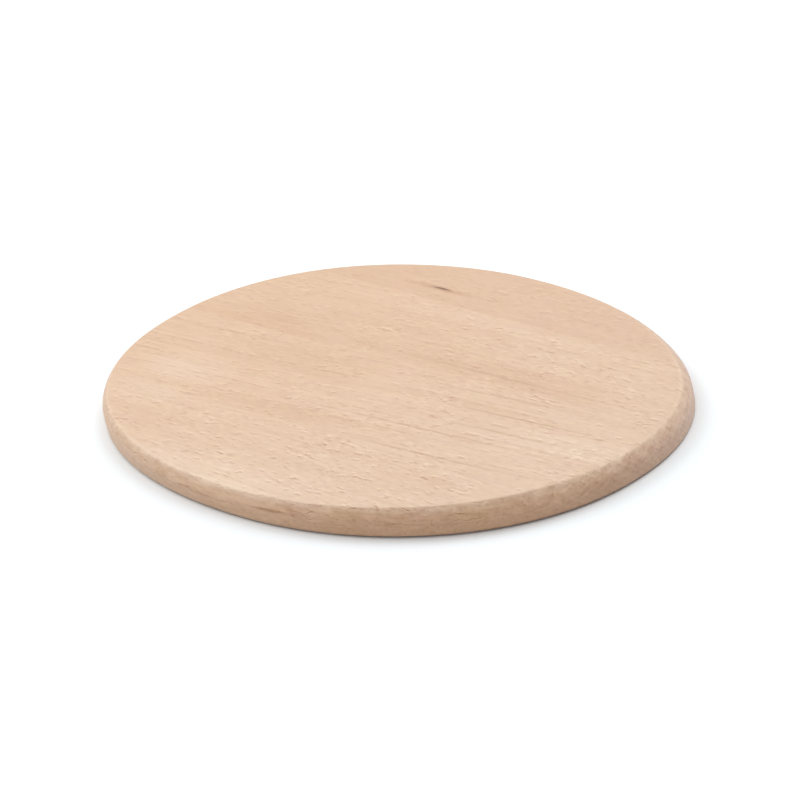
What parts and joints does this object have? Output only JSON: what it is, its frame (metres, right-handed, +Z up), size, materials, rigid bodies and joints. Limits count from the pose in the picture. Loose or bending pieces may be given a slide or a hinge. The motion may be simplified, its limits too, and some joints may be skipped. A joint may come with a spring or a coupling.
{
  "type": "oval cutting board",
  "caption": "Flat oval kitchen cutting board of pale solid wood, glued up from staves along the grain, with a softly rolled rim and a flat underside to rest on.",
  "frame": {"origin": "middle of the underside, on the surface that the board rests on", "axes": "+X along the grain and the long axis of the oval, +Y across the staves towards the back, +Z up through the work face"},
  "size_m": [0.3, 0.2, 0.012],
  "materials": {
    "beech": "pale pinkish beech, planed and sanded, unvarnished, dry and matte, with fine short ray flecks along the grain"
  },
  "bodies": {
    "root": {"stave_front": "beech", "stave_middle_front": "beech", "stave_middle_back": "beech", "stave_back": "beech"}
  },
  "joints": []
}
